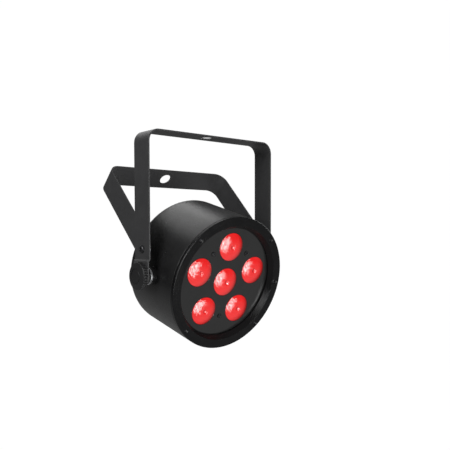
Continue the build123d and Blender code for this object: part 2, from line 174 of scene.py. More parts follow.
# Each finish: colour, roughness, and how it differs from a plain one
FINISHES = {
    "strip_black": ((0.027, 0.027, 0.028), 0.50, POWDER),
    "housing_black": ((0.0075, 0.0075, 0.0078), 0.31, POWDER),
    "bezel_black": ((0.0035, 0.0035, 0.0038), 0.24, dict(POWDER, specular=0.22)),
    "plate_black": ((0.011, 0.011, 0.011), 0.15, SATIN),
    "screw_black": ((0.020, 0.020, 0.022), 0.32, dict(metal=0.6, grain=3000, bump=0.1, wear=0.5)),
    "zinc": ((0.55, 0.56, 0.57), 0.45, dict(metal=1.0, grain=1500, bump=0.08, vary=0.12, broad=300)),
    "knob_black": ((0.013, 0.013, 0.0135), 0.38, RIBBED),
    "nylon_black": ((0.03, 0.03, 0.032), 0.5, dict(grain=2500, bump=0.2)),
    "rubber_black": ((0.022, 0.022, 0.022), 0.72, dict(grain=2200, bump=0.4)),
    "holder_black": ((0.02, 0.02, 0.02), 0.5, dict(grain=2500, bump=0.2)),
    "led_chip": ((0.9, 0.55, 0.25), 0.25, dict(grain=1200, bump=0.05, coat=0.6)),
    "board_white": ((0.82, 0.83, 0.80), 0.35, dict(grain=900, bump=0.08, vary=0.05, coat=0.3)),
    "board_green": ((0.02, 0.16, 0.06), 0.32, dict(grain=900, bump=0.1, vary=0.2, coat=0.4)),
    "aluminium": ((0.72, 0.73, 0.74), 0.34, dict(metal=1.0, grain=2200, bump=0.15, stretch=(1, 1, 0.1))),
    "brass": ((0.75, 0.56, 0.26), 0.28, dict(metal=1.0, grain=2400, bump=0.12, stretch=(0.1, 1, 1))),
    "copper": ((0.62, 0.28, 0.14), 0.35, dict(metal=0.9, grain=2600, bump=0.4)),
    "core_grey": ((0.16, 0.15, 0.13), 0.5, dict(grain=1600, bump=0.3)),
    "cap_blue": ((0.03, 0.05, 0.22), 0.3, dict(grain=1200, bump=0.08, coat=0.3)),
    "chip_black": ((0.02, 0.02, 0.021), 0.45, dict(grain=2800, bump=0.2)),
    "window_dark": ((0.012, 0.014, 0.016), 0.10, dict(grain=800, bump=0.02, coat=0.8, spread=0.04)),
    "button_grey": ((0.16, 0.17, 0.18), 0.55, dict(grain=2600, bump=0.25)),
    "socket_black": ((0.018, 0.018, 0.019), 0.42, dict(grain=2800, bump=0.25)),
    "socket_blue": ((0.02, 0.09, 0.38), 0.38, dict(grain=2400, bump=0.2)),
    "socket_grey": ((0.55, 0.56, 0.55), 0.42, dict(grain=2400, bump=0.2)),
    "gold_pin": ((0.80, 0.60, 0.28), 0.22, dict(metal=1.0, grain=1800, bump=0.05)),
}
MATS = {name: material(name, color, rough, **look) for name, (color, rough, look) in FINISHES.items()}

OPTIC = dict(grain=900, bump=0.02, vary=0.10, coat=1.0, broad=120, coat_rough=0.10)
LENSLET_SCALE, LENSLET_DEPTH = 760.0, 0.45 * MM
LENS_GLOW = (1.0, 0.012, 0.012, 1)


def lens_material():
    """Moulded red optic: lit from within, dimmer where it turns away, its skin set with tiny lenslets."""
    mat = material("lens_red", (0.22, 0.004, 0.004), 0.16, **OPTIC)
    nodes, links = mat.node_tree.nodes, mat.node_tree.links
    bsdf = nodes["Principled BSDF"]
    bsdf.inputs["Coat IOR"].default_value = 1.7

    def ranged(value, start, end, first, last, kind="LINEAR"):
        """Carries a value that runs from start to end over to first to last."""
        m = nodes.new("ShaderNodeMapRange")
        m.interpolation_type = kind
        for key, number in (("From Min", start), ("From Max", end), ("To Min", first), ("To Max", last)):
            m.inputs[key].default_value = number
        links.new(value, m.inputs["Value"])
        return m.outputs["Result"]

    cells = nodes.new("ShaderNodeTexVoronoi")
    cells.inputs["Scale"].default_value = LENSLET_SCALE
    cells.inputs["Randomness"].default_value = 0.25
    links.new(nodes["Texture Coordinate"].outputs["Object"], cells.inputs["Vector"])
    relief = nodes.new("ShaderNodeBump")
    relief.inputs["Strength"].default_value = 0.6
    relief.inputs["Distance"].default_value = LENSLET_DEPTH
    relief.invert = True
    links.new(cells.outputs["Distance"], relief.inputs["Height"])
    links.new(relief.outputs["Normal"], bsdf.inputs["Normal"])
    links.new(relief.outputs["Normal"], bsdf.inputs["Coat Normal"])
    turned = nodes.new("ShaderNodeLayerWeight")
    turned.inputs["Blend"].default_value = 0.5
    glow = nodes.new("ShaderNodeMath")
    glow.operation = "MULTIPLY"
    links.new(ranged(turned.outputs["Facing"], 0.30, 0.74, 0.74, 0.10, "SMOOTHSTEP"), glow.inputs[0])
    links.new(ranged(cells.outputs["Distance"], 0.0, 0.6, 1.06, 0.88), glow.inputs[1])
    bsdf.inputs["Emission Color"].default_value = LENS_GLOW
    links.new(glow.outputs["Value"], bsdf.inputs["Emission Strength"])
    return mat


MATS["lens_red"] = lens_material()


# ---------------------------------------------------------------- mesh tools
def even_shading(obj):
    """Lets wide flat faces keep their own direction where they meet a narrow rounded edge."""
    even = obj.modifiers.new("even_shading", "WEIGHTED_NORMAL")
    even.keep_sharp = True


def finish_piece(name, mesh, body, node, slot, matrix=None, sharp=32):
    """Turns a mesh into a piece: placed, shaded, riding its body and standing for its node."""
    if matrix is not None:
        mesh.transform(matrix)
    mesh.shade_smooth()
    mesh.set_sharp_from_angle(angle=math.radians(sharp))
    obj = bpy.data.objects.new(name, mesh)
    bpy.context.scene.collection.objects.link(obj)
    mesh.materials.clear()
    mesh.materials.append(MATS[slot])
    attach(obj, body)
    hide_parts(node)
    even_shading(obj)
    return obj


def rounded(corners, steps=5):
    """Points of a line whose corners (x, y, radius) are rounded off."""
    out = []
    for i, (x, y, r) in enumerate(corners):
        if r <= 0 or i in (0, len(corners) - 1):
            out.append((x, y))
            continue
        here = Vector((x, y))
        a = (Vector(corners[i - 1][:2]) - here).normalized()
        b = (Vector(corners[i + 1][:2]) - here).normalized()
        half = a.angle(b) / 2
        reach = r / math.tan(half)
        centre = here + (a + b).normalized() * (r / math.sin(half))
        start, end = here + a * reach - centre, here + b * reach - centre
        turn = start.angle_signed(end)
        for k in range(steps + 1):
            p = start.copy()
            p.rotate(Matrix.Rotation(-turn * k / steps, 2))
            out.append(tuple(centre + p))
    return out


def lathe(name, profile, segments=96, closed=False, shape=None):
    """Mesh turned about z from (radius, height) points in mm. shape(index, angle) can change a radius."""
    bm = bmesh.new()
    rings = []
    for i, (r, z) in enumerate(profile):
        if r < 1e-6:
            rings.append([bm.verts.new((0, 0, z * MM))])
            continue
        ring = []
        for k in range(segments):
            a = 2 * math.pi * k / segments
            rr = r + (shape(i, a) if shape else 0)
            ring.append(bm.verts.new((rr * MM * math.cos(a), rr * MM * math.sin(a), z * MM)))
        rings.append(ring)
    pairs = list(zip(rings, rings[1:])) + ([(rings[-1], rings[0])] if closed else [])
    for low, high in pairs:
        for k in range(segments):
            n = (k + 1) % segments
            loop = [low[k % len(low)], low[n % len(low)], high[n % len(high)], high[k % len(high)]]
            unique = list(dict.fromkeys(loop))
            if len(unique) > 2:
                bm.faces.new(unique)
    bmesh.ops.recalc_face_normals(bm, faces=bm.faces)
    mesh = bpy.data.meshes.new(name)
    bm.to_mesh(mesh)
    bm.free()
    return mesh


def circle(x, y, r, count=48):
    """Closed loop of points round a spot."""
    angles = [2 * math.pi * k / count for k in range(count)]
    return [(x + r * math.cos(a), y + r * math.sin(a)) for a in angles]


def on_circle(radius, degrees, x=0.0, y=0.0):
    """Spots at the given angles of a circle."""
    angles = [math.radians(d) for d in degrees]
    return [(x + radius * math.cos(a), y + radius * math.sin(a)) for a in angles]


CORNER_STEPS = 6


def box_loop(x, y, w, h, r):
    """Rectangle with round corners, as a closed loop of points."""
    out = []
    for cx, cy, a0 in ((1, 1, 0), (-1, 1, 90), (-1, -1, 180), (1, -1, 270)):
        for k in range(CORNER_STEPS + 1):
            a = math.radians(a0 + 90 * k / CORNER_STEPS)
            out.append((x + cx * (w / 2 - r) + r * math.cos(a), y + cy * (h / 2 - r) + r * math.sin(a)))
    return out


def plate(name, loops, thickness, edge=0.25):
    """Flat plate in mm from an outline and holes, centred on z = 0, every edge softened."""
    curve = bpy.data.curves.new(name, "CURVE")
    curve.dimensions = "2D"
    curve.fill_mode = "BOTH"
    curve.extrude = (thickness / 2 - edge) * MM
    curve.bevel_depth = edge * MM
    curve.bevel_resolution = 2
    curve.offset = -edge * MM
    for loop in loops:
        line = curve.splines.new("POLY")
        line.points.add(len(loop) - 1)
        for point, (x, y) in zip(line.points, loop):
            point.co = (x * MM, y * MM, 0, 1)
        line.use_cyclic_u = True
    holder = bpy.data.objects.new(name + "_flat", curve)
    bpy.context.scene.collection.objects.link(holder)
    bpy.context.view_layer.update()
    mesh = bpy.data.meshes.new_from_object(holder.evaluated_get(bpy.context.evaluated_depsgraph_get()))
    bpy.data.objects.remove(holder)
    bpy.data.curves.remove(curve)
    bm = bmesh.new()
    bm.from_mesh(mesh)
    bmesh.ops.remove_doubles(bm, verts=bm.verts, dist=1e-6)
    bmesh.ops.recalc_face_normals(bm, faces=bm.faces)
    bm.to_mesh(mesh)
    bm.free()
    mesh.name = name
    return mesh


def joined(name, meshes):
    """One mesh from several, each given as (mesh, matrix)."""
    bm = bmesh.new()
    for mesh, matrix in meshes:
        part = mesh.copy()
        part.transform(matrix)
        bm.from_mesh(part)
        bpy.data.meshes.remove(part)
    out = bpy.data.meshes.new(name)
    bm.to_mesh(out)
    bm.free()
    return out


# ---------------------------------------------------------------- straps
STRIP_W, STRIP_T, STRIP_EDGE, BEND_R = 27.5, 1.5, 0.3, 13.0
YOKE_HALF, YOKE_RISE = 87.2, -HINGE.z / MM
KNOB_DROP = (HINGE.z - PIVOT.z) / MM
STEP_OUT, STEP_DROP, STEP_BEND_R, STEP_EASE = 2.0, 10.5, 2.2, 0.3
REAR_HALF, REAR_RISE = 84.1, 118.0
REAR_SHORT = 6.0  # the rear arms' round ends are centred this far above the hinge
CLAMP_R, HINGE_HOLE_R, PIVOT_HOLE_R = 6.85, 2.6, 4.3


def strap(name, half, rise, drop, step, matrix, node, holes):
    """Flat pattern with round ends and holes, wrapped round the bends of the strip's middle line."""
    mid = STRIP_T / 2
    low, end = -rise - STEP_DROP - STEP_EASE, -rise - drop - STRIP_W / 2
    right = [(half - mid, -mid, BEND_R - mid)]
    if step:
        right += [(half - mid, low, STEP_BEND_R), (half - mid + step, low - step, STEP_BEND_R)]
    right += [(half - mid + step, end, 0)]
    corners = [(-x, z, r) for x, z, r in reversed(right)] + right
    line = [Vector(p) for p in rounded(corners, steps=10)]
    tangents = [(b - a).normalized() for a, b in zip(line, line[1:])]
    lengths = [0.0]
    for a, b in zip(line, line[1:]):
        lengths.append(lengths[-1] + (b - a).length)
    total = lengths[-1]
    stations = [s - total / 2 for s in lengths]
    normals = []
    for i in range(len(line)):
        t0, t1 = tangents[max(i - 1, 0)], tangents[min(i, len(tangents) - 1)]
        t = (t0 + t1).normalized()
        normals.append(Vector((-t.y, t.x)) / max(t.dot(t1), 0.5))

    def along(z):
        """Distance from the middle of the top bar down an arm to a height."""
        for i in range(len(line) - 1, 0, -1):
            if line[i].y <= z <= line[i - 1].y:
                f = (z - line[i - 1].y) / (line[i].y - line[i - 1].y)
                return stations[i - 1] + f * (stations[i] - stations[i - 1])
        return total / 2

    w = STRIP_W / 2
    tip = total / 2 - w
    outline = [(tip + w * math.sin(a), w * math.cos(a)) for a in np.linspace(0, math.pi, 33)]
    outline += [(-x, -y) for x, y in outline]
    loops = [outline, circle(0, 0, CLAMP_R, 64)]
    for height, radius in holes:
        s = along(height)
        loops += [circle(s, 0, radius, 32), circle(-s, 0, radius, 32)]
    mesh = plate(name, loops, STRIP_T, STRIP_EDGE)
    bm = bmesh.new()
    bm.from_mesh(mesh)
    for s in stations[1:-1]:
        everything = bm.verts[:] + bm.edges[:] + bm.faces[:]
        bmesh.ops.bisect_plane(bm, geom=everything, dist=1e-7, plane_co=(s * MM, 0, 0), plane_no=(1, 0, 0))
    for v in bm.verts:
        s = v.co.x / MM
        i = min(max(np.searchsorted(stations, s) - 1, 0), len(line) - 2)
        f = (s - stations[i]) / (stations[i + 1] - stations[i])
        p = line[i].lerp(line[i + 1], f)
        n = normals[i].lerp(normals[i + 1], f)
        h = v.co.z / MM
        v.co = Vector(((p.x + n.x * h) * MM, v.co.y, (p.y + n.y * h) * MM))
    bmesh.ops.recalc_face_normals(bm, faces=bm.faces)
    bm.to_mesh(mesh)
    bm.free()
    finish_piece(name, mesh, node, node, "strip_black", matrix, sharp=15)


yoke_holes = [(-YOKE_RISE, HINGE_HOLE_R), (-YOKE_RISE - KNOB_DROP, PIVOT_HOLE_R)]
yoke_frame = Matrix.Identity(4)
strap("yoke_strap", YOKE_HALF, YOKE_RISE, KNOB_DROP, STEP_OUT, yoke_frame, "front_yoke", yoke_holes)
lean_back = Vector((0, math.cos(LEAN), -math.sin(LEAN)))
lean_up = Vector((0, math.sin(LEAN), math.cos(LEAN)))
rear_frame = Matrix((ACROSS, lean_back, lean_up)).transposed().to_4x4()
rear_frame.translation = HINGE + lean_up * (REAR_RISE * MM)
rear_holes = [(-REAR_RISE, HINGE_HOLE_R)]
strap("rear_strap", REAR_HALF, REAR_RISE, -REAR_SHORT, 0.0, rear_frame, "rear_bracket", rear_holes)

# ---------------------------------------------------------------- fixings
SIDES = ((-1, "left"), (1, "right"))
DRIVE_LIP, DRIVE_TIP = 0.12, 0.2
HINGE_NUT_X, HINGE_RING_X = 82.5, 84.15
BOSS_RING_X, SLEEVE_X, KNOB_RING_X, KNOB_X = 80.15, 82.4, 89.25, 89.5


def both_sides(x, z):
    return [pivot_at(side, x, z) for side, _ in SIDES]


def hexagon(angle):
    """Radius of a hexagon at an angle, its corners being at 1."""
    sixth = math.pi / 3
    return math.cos(sixth / 2) / math.cos(angle % sixth - sixth / 2)


def socket_head(radius, height, drive, depth, shank, length, dome):
    """Screw with a domed head, a hex recess in it and a plain shank, head outward along z."""
    rim, mouth = 0.25 * radius, drive + DRIVE_LIP
    corners = [
        (0, height, 0),
        (mouth, height, 0),
        (radius - rim, height - dome * 0.2, 0.4 * rim),
        (radius, height - dome - rim * 0.3, rim * 0.6),
        (radius, 0.0, 0.1),
        (shank, 0.0, 0),
        (shank, -length, 0.2),
        (0, -length, 0),
    ]
    cap = lathe("cap", rounded(corners, 3)[1:], 48)
    bm = bmesh.new()
    bm.from_mesh(cap)

    def at_mouth(v):
        return abs(v.co.z - height * MM) < 1e-9 and abs(v.co.xy.length - mouth * MM) < 1e-7

    def hex_ring(level):
        """Points of the recess's hexagon, each straight in from one of the round mouth's."""
        angles = [math.atan2(v.co.y, v.co.x) for v in top]
        spots = [(drive * hexagon(a) * MM, a) for a in angles]
        return [bm.verts.new((r * math.cos(a), r * math.sin(a), level * MM)) for r, a in spots]

    top = sorted(filter(at_mouth, bm.verts), key=lambda v: math.atan2(v.co.y, v.co.x))
    inner, floor = hex_ring(height - DRIVE_LIP), hex_ring(height - depth)
    pit = bm.verts.new((0, 0, (height - depth - DRIVE_TIP) * MM))
    for i in range(len(top)):
        j = (i + 1) % len(top)
        bm.faces.new((top[i], top[j], inner[j], inner[i]))
        bm.faces.new((inner[i], inner[j], floor[j], floor[i]))
        bm.faces.new((floor[i], floor[j], pit))
    bmesh.ops.recalc_face_normals(bm, faces=bm.faces)
    bm.to_mesh(cap)
    bm.free()
    return cap


def many(name, mesh, places, body, node, slot, sharp=32):
    """One piece made of the same mesh at several places."""
    finish_piece(name, joined(name, [(mesh, m) for m in places]), body, node, slot, sharp=sharp)
    bpy.data.meshes.remove(mesh)


def hex_nut(flats, height, bore):
    """Chamfered hex nut, standing on z = 0."""
    corner, face = flats / 2 / math.cos(math.pi / 6), flats / 2 - 0.3
    chamfer, bevel = 0.45, 0.3
    profile = [
        (bore, 0.0),
        (face, 0.0),
        (corner, chamfer),
        (corner, height - chamfer),
        (face, height),
        (bore + bevel, height),
        (bore, height - bevel),
    ]

    def hexed(i, a):
        radius = profile[i][0]
        return radius * (hexagon(a) - 1) if radius > flats / 2 - 0.01 else 0

    return lathe("nut", profile, 72, closed=True, shape=hexed)


def nut_at(side):
    """Frame on the hinge line, inside the arm, with z pointing at the middle."""
    place = pivot_at(-side, 0, HINGE.z)
    place.translation = Vector((side * HINGE_NUT_X * MM, 0, HINGE.z))
    return place @ Matrix.Rotation(math.pi / 6, 4, "Z")


def ring_mesh(outer, inner, height):
    """Flat washer with softened corners, standing on z = 0."""
    soft = 0.25
    corners = [
        (inner, height / 2, 0),
        (inner, 0, soft),
        (outer, 0, soft),
        (outer, height, soft),
        (inner, height, soft),
        (inner, height / 2 + 0.01, 0),
    ]
    return lathe("ring", rounded(corners, 3), 72, closed=True)


def sleeve_mesh():
    """Friction sleeve with shallow grip rings round it."""
    bore, outer, groove, length = 4.3, 7.6, 7.2, 5.25
    corners = [(bore, 3.0, 0), (bore, 0, 0.2), (outer, 0, 0.4)]
    for k in range(3):
        z = 0.7 + 1.35 * k
        corners += [(outer, z, 0.15), (groove, z + 0.25, 0.15)]
        corners += [(groove, z + 0.65, 0.15), (outer, z + 0.9, 0.15)]
    corners += [(outer, length, 0.4), (bore, length, 0.2), (bore, 3.05, 0)]
    return lathe("sleeve", rounded(corners, 3), 72, closed=True)


hinge_head = socket_head(radius=4.1, height=2.2, drive=1.5, depth=1.2, shank=2.5, length=9.3, dome=0.7)
hinge_ring, boss_ring = ring_mesh(7.0, 2.6, 1.5), ring_mesh(9.4, 4.3, 2.2)
nut_places = [nut_at(side) for side, _ in SIDES]
many("hinge_heads", hinge_head, both_sides(YOKE_HALF, HINGE.z), "front_yoke", "hinge_screws", "screw_black")
many("hinge_hex_nuts", hex_nut(8.0, 3.9, 2.5), nut_places, "front_yoke", "hinge_nuts", "zinc", 25)
ring_places, sleeve_places = both_sides(HINGE_RING_X, HINGE.z), both_sides(SLEEVE_X, PIVOT.z)
many("hinge_rings", hinge_ring, ring_places, "front_yoke", "hinge_washers", "nylon_black")
many("boss_rings", boss_ring, both_sides(BOSS_RING_X, PIVOT.z), "head", "boss_washers", "zinc")
many("friction_rings", sleeve_mesh(), sleeve_places, "head", "friction_sleeves", "rubber_black")

KNOB_R, KNOB_SEAT_R, RIBS, RIB_DEPTH = 15.0, 9.3, 30, 0.8


def knob_mesh():
    """Hand knob: washer seat, ribs that run out in the shoulder, sloping cap with a ring groove in it."""
    seat_corners = [
        (4.0, 0.8, 0),
        (KNOB_SEAT_R, 0.8, 0.12),
        (KNOB_SEAT_R, 0.0, 0.15),
        (KNOB_R, 0.0, 0.35),
        (KNOB_R, 0.5, 0),
    ]
    side = [(KNOB_R, z) for z in (0.6, 0.75, 1.4, 2.2, 3.0)]
    bends = np.linspace(0, math.pi / 2.3, 9)
    shoulder = [(13.4 + 1.6 * math.cos(a), 3.4 + 1.7 * math.sin(a)) for a in bends]
    cap_corners = [
        (13.7, 5.1, 0),
        (8.7, 6.28, 1.2),
        (8.4, 6.28, 0.1),
        (8.3, 5.65, 0.2),
        (7.3, 5.65, 0.2),
        (7.1, 6.2, 0.25),
        (3.0, 6.25, 0.6),
        (0, 6.1, 0),
    ]
    profile = rounded(seat_corners, 4) + side + shoulder + rounded(cap_corners, 4)[1:]

    def ribbed(i, a):
        r, z = profile[i]
        if z < 0.7 or r < 13:
            return 0.0
        wave = 0.5 + 0.5 * math.cos(RIBS * a)
        return min(0.0, KNOB_R - RIB_DEPTH * (1 - wave**0.4) - r)

    return lathe("knob", profile, 16 * RIBS, shape=ribbed)


for side, name in SIDES:
    knob_place = pivot_at(side, KNOB_X, PIVOT.z)
    ring_place = pivot_at(side, KNOB_RING_X, PIVOT.z)
    body, washer = name + "_knob", name + "_knob_washer"
    finish_piece(name + "_hand_knob", knob_mesh(), body, body, "knob_black", knob_place, sharp=40)
    finish_piece(name + "_knob_ring", ring_mesh(9.0, 4.3, 1.0), washer, washer, "nylon_black", ring_place)

# ---------------------------------------------------------------- head
DRUM_R, DRUM_FRONT, DRUM_BACK = 74.95, 40.35, -47.1
WALL_R, OPENING_R, BACK_T = 73.0, 57.0, 2.0
BOSS_X = 67.0
BEZEL_T, BEZEL_SEAT = 4.0, 38.2
SCREW_SPOTS, LOCK_SPOT = on_circle(70.0, (45, 135, 225, 315)), (68.4, 0.0)


def drum_mesh():
    """Shell: rounded back edge, straight side, thin front lip, inner wall and the panel opening."""
    lip, seam = DRUM_FRONT - BEZEL_T, -46.0
    corners = [
        (OPENING_R, seam, 0),
        (OPENING_R, DRUM_BACK, 0.4),
        (DRUM_R, DRUM_BACK, 6.5),
        (DRUM_R, lip, 0.35),
        (WALL_R, lip, 0.2),
        (WALL_R, DRUM_BACK + BACK_T, 4.5),
        (OPENING_R, DRUM_BACK + BACK_T, 0.3),
        (OPENING_R, seam + 0.1, 0),
    ]
    return lathe("drum", rounded(corners, 8), 192, closed=True)


def boss_mesh():
    """Side boss: fillet where it leaves the drum, straight wall, softened rim and a bore."""
    corners = [(5.5, 10.0, 0), (5.5, 13.1, 0.3), (10.0, 13.1, 0.5), (10.0, 7.4, 1.2), (12.2, 5.2, 0)]
    return lathe("boss", rounded(corners, 5), 96)


drum_parts = [(drum_mesh(), HEAD)] + [(boss_mesh(), place) for place in both_sides(BOSS_X, PIVOT.z)]
drum = joined("drum_shell", drum_parts)
finish_piece("drum_shell", drum, "head", "drum_housing", "housing_black", sharp=35)


def bezel_mesh():
    """Front ring: rounded rim, flat face, sloping throat and a spigot behind."""
    back, seam_r = DRUM_FRONT - BEZEL_T + 0.05, 74.0
    corners = [
        (seam_r, DRUM_FRONT, 0),
        (64.9, DRUM_FRONT, 0.35),
        (61.3, 34.4, 0.5),
        (61.3, 32.5, 0.2),
        (72.6, 32.5, 0.2),
        (72.6, back, 0.1),
        (DRUM_R, back, 0.25),
        (DRUM_R, DRUM_FRONT, 0.7),
        (seam_r, DRUM_FRONT, 0),
    ]
    return lathe("bezel", rounded(corners, 5)[:-1], 240, closed=True)


def cut_holes(obj, cutters):
    """Cuts round recesses, each (matrix, radius, depth), and leaves the result as the piece's mesh."""
    for matrix, radius, depth in cutters:
        profile = [(0, -depth), (radius, -depth), (radius + 0.25, 3.0), (0, 3.0)]
        tool = bpy.data.objects.new("tool", lathe("tool", profile, 40))
        tool.data.transform(matrix)
        bpy.context.scene.collection.objects.link(tool)
        cut = obj.modifiers.new("cut", "BOOLEAN")
        cut.operation = "DIFFERENCE"
        cut.solver = "EXACT"
        cut.object = tool
        bpy.context.view_layer.update()
        evaluated = obj.evaluated_get(bpy.context.evaluated_depsgraph_get())
        done = bpy.data.meshes.new_from_object(evaluated)
        obj.modifiers.clear()
        obj.data = done
        bpy.data.objects.remove(tool)
    obj.data.shade_smooth()
    obj.data.set_sharp_from_angle(angle=math.radians(30))
    even_shading(obj)


recesses = [(head_at(x, y, DRUM_FRONT), 2.2, 2.2) for x, y in SCREW_SPOTS]
recesses.append((head_at(*LOCK_SPOT, DRUM_FRONT), 3.0, 2.2))
bezel = finish_piece("bezel_ring", bezel_mesh(), "head", "front_bezel", "bezel_black", HEAD, sharp=30)
cut_holes(bezel, recesses)
bezel_heads = []
for spot in SCREW_SPOTS:
    small = socket_head(radius=2.1, height=1.2, drive=1.0, depth=0.7, shank=1.5, length=8.0, dome=0.25)
    bezel_heads.append((small, head_at(*spot, BEZEL_SEAT)))
large = socket_head(radius=2.8, height=1.6, drive=1.4, depth=0.9, shank=1.5, length=8.0, dome=0.4)
bezel_heads.append((large, head_at(*LOCK_SPOT, BEZEL_SEAT)))
finish_piece("bezel_fixings", joined("bezel_fixings", bezel_heads), "head", "bezel_screws", "screw_black")

LENS_R, LENS_RING_R = 15.5, 39.75
PLATE_R, PLATE_FRONT, PLATE_T = 65.5, 32.4, 2.0
LENS_SPOTS = [(0.0, 0.0)] + on_circle(LENS_RING_R, (90, 162, 234, 306, 18))
PLATE_SCREWS = on_circle(LENS_RING_R, (54, 126, 270))

face_loops = [circle(0, 0, PLATE_R, 192)]
face_loops += [circle(x, y, LENS_R + 0.3, 96) for x, y in LENS_SPOTS]
face_loops += [circle(x, y, 1.6, 32) for x, y in PLATE_SCREWS]
face = plate("face_plate", face_loops, PLATE_T, 0.2)
face_place = head_at(0, 0, PLATE_FRONT - PLATE_T / 2)
finish_piece("face_plate", face, "head", "lens_plate", "plate_black", face_place, sharp=15)
plate_head = socket_head(radius=2.4, height=1.4, drive=1.1, depth=0.7, shank=1.5, length=8.0, dome=0.4)
plate_spots = [head_at(x, y, PLATE_FRONT) for x, y in PLATE_SCREWS]
many("plate_fixings", plate_head, plate_spots, "head", "plate_screws", "screw_black")


def lens_mesh():
    """Collimator: shallow central dimple, pillow dome, thin rim and the cone behind it."""
    rise, dimple, depth = 3.0, 3.0, 0.9

    def crown(r):
        return PLATE_FRONT + rise * (1 - (r / LENS_R) ** 3)

    points = []
    for r in np.linspace(0.0, dimple, 9):
        points.append((float(r), crown(dimple) - depth * (1 - (r / dimple) ** 2)))
    for r in np.linspace(dimple + 0.25, 15.1, 34):
        points.append((float(r), crown(r)))
    points += [(15.45, PLATE_FRONT + 0.05), (LENS_R, PLATE_FRONT - 0.3), (LENS_R, 30.9)]
    points += [(6.0, 17.4), (4.5, 17.4), (4.5, 21.4), (0, 22.4)]
    return lathe("lens", points, 96)


for number, (x, y) in enumerate(LENS_SPOTS, start=1):
    finish_piece(f"dome_{number}", lens_mesh(), "head", f"lens_{number}", "lens_red", head_at(x, y), sharp=40)

# ---------------------------------------------------------------- back panel
PANEL_R, PANEL_BACK, PANEL_T = 64.0, -48.6, 1.5
BUTTONS = [(x, 19.0) for x in (-21, -7, 7, 21)]
DMX_IN, DMX_OUT = (-36.0, -7.0), (36.0, -7.0)
POWER_IN, POWER_OUT = (-17.0, -40.0), (17.0, -40.0)
BARREL_R, BARREL_END = 11.8, 17.55
LATCH_UP = 12.6
WINDOW_Y = 38
PANEL_SCREWS = on_circle(60.5, range(30, 390, 60))
TURNED = Matrix.Rotation(math.pi, 4, "X")


def back_at(x, y, z):
    """Frame on the back panel with z pointing out of the back."""
    return head_at(x, y, z) @ TURNED


panel_loops = [circle(0, 0, PANEL_R, 192), box_loop(0, WINDOW_Y, 38, 15, 1.2)]
panel_loops += [circle(x, y, 3.06, 32) for x, y in BUTTONS]
panel_loops += [circle(x, y, 12.0, 64) for x, y in (DMX_IN, DMX_OUT, POWER_IN, POWER_OUT)]
panel_loops += [circle(x, y, 1.5, 24) for x, y in PANEL_SCREWS]
panel = plate("back_plate", panel_loops, PANEL_T, 0.3)
panel_place = head_at(0, 0, PANEL_BACK + PANEL_T / 2)
finish_piece("back_plate", panel, "head", "rear_panel", "housing_black", panel_place, sharp=15)
panel_head = socket_head(radius=2.6, height=1.6, drive=1.1, depth=0.8, shank=1.25, length=5.0, dome=0.5)
panel_spots = [back_at(x, y, PANEL_BACK) for x, y in PANEL_SCREWS]
many("back_fixings", panel_head, panel_spots, "head", "rear_panel_screws", "screw_black")
window_parts = [
    (plate("pane", [box_loop(0, 0, 37.8, 14.8, 1.1)], 1.5), head_at(0, WINDOW_Y, PANEL_BACK + 0.75)),
    (plate("ledge", [box_loop(0, 0, 42, 19, 1.5)], 1.0, 0.2), head_at(0, WINDOW_Y, DRUM_BACK + 0.5)),
]
finish_piece("display_pane", joined("display_pane", window_parts), "head", "display_window", "window_dark")


def key_mesh():
    """Menu key: dished top with a soft rim, its collar behind the panel."""
    corners = [(0, 5.65, 0), (1.8, 5.75, 1.0), (3.0, 5.9, 0.5), (3.0, 2.4, 0.1), (3.9, 2.4, 0.2)]
    corners += [(3.9, 1.6, 0.2), (3.0, 1.6, 0.1), (3.0, 0, 0.2), (0, 0, 0)]
    return lathe("key", rounded(corners, 4), 64)


for number, (x, y) in enumerate(BUTTONS, start=1):
    key = f"menu_button_{number}"
    finish_piece(f"menu_key_{number}", key_mesh(), key, key, "button_grey", back_at(x, y, -44.5))


def socket_shell(name, spot, bore, node, notch=False):
    """Data socket's body: flange, a low collar in front and the barrel behind."""
    loops = [box_loop(0, 0, 26, 31, 3.0), circle(0, 0, bore, 72)]
    if notch:
        loops.append(box_loop(0, LATCH_UP, 6.2, 3.2, 0.4))
    flange = plate("flange", loops, 2.0, 0.35)
    corners = [
        (bore, 1.0, 0),
        (bore, -1.55, 0.3),
        (bore + 0.7, -1.55, 0.3),
        (bore + 1.0, 0.3, 0),
        (BARREL_R, 0.3, 0.1),
        (BARREL_R, BARREL_END, 0.3),
        (bore, BARREL_END, 0.3),
        (bore, 1.05, 0),
    ]
    barrel = lathe("barrel", rounded(corners, 3), 72, closed=True)
    parts = [(flange, head_at(*spot, PANEL_BACK - 1.0)), (barrel, head_at(*spot, PANEL_BACK))]
    finish_piece(name, joined(name, parts), "head", node, "socket_black")


socket_shell("data_in_body", DMX_IN, 9.4, "dmx_in_shell")
socket_shell("data_out_body", DMX_OUT, 10.0, "dmx_out_shell", notch=True)
latch = plate("data_latch", [box_loop(0, 0, 6.0, 3.0, 0.5)], 1.8, 0.35)
latch_place = head_at(DMX_OUT[0], DMX_OUT[1] + LATCH_UP, PANEL_BACK - 2.5)
finish_piece("data_latch", latch, "dmx_latch", "dmx_latch", "zinc", latch_place)

